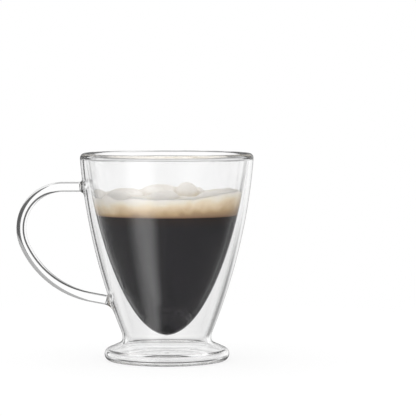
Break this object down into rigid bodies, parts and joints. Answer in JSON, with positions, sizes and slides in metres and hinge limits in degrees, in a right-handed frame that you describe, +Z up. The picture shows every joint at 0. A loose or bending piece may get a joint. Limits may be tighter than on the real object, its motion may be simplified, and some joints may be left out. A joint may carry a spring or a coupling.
{
  "type": "double-walled glass mug",
  "caption": "Clear double-walled glass mug: an egg-shaped bowl joined at the rim inside a tapered shell with a waist and flared foot, and a bent glass rod handle.",
  "frame": {"origin": "on the mug's axis, at the height of the surface that it stands on", "axes": "+Z up along the mug's axis; the handle points to -X and lies in the X-Z plane"},
  "size_m": [0.1307, 0.0954, 0.1145],
  "materials": {
    "clear_glass": "fire-polished clear borosilicate glass"
  },
  "bodies": {
    "root": {"inner_bowl": "clear_glass", "outer_shell": "clear_glass", "rim_weld": "clear_glass", "base_disc": "clear_glass", "vent_seal": "clear_glass", "handle": "clear_glass", "upper_handle_weld": "clear_glass", "lower_handle_weld": "clear_glass"}
  },
  "joints": []
}
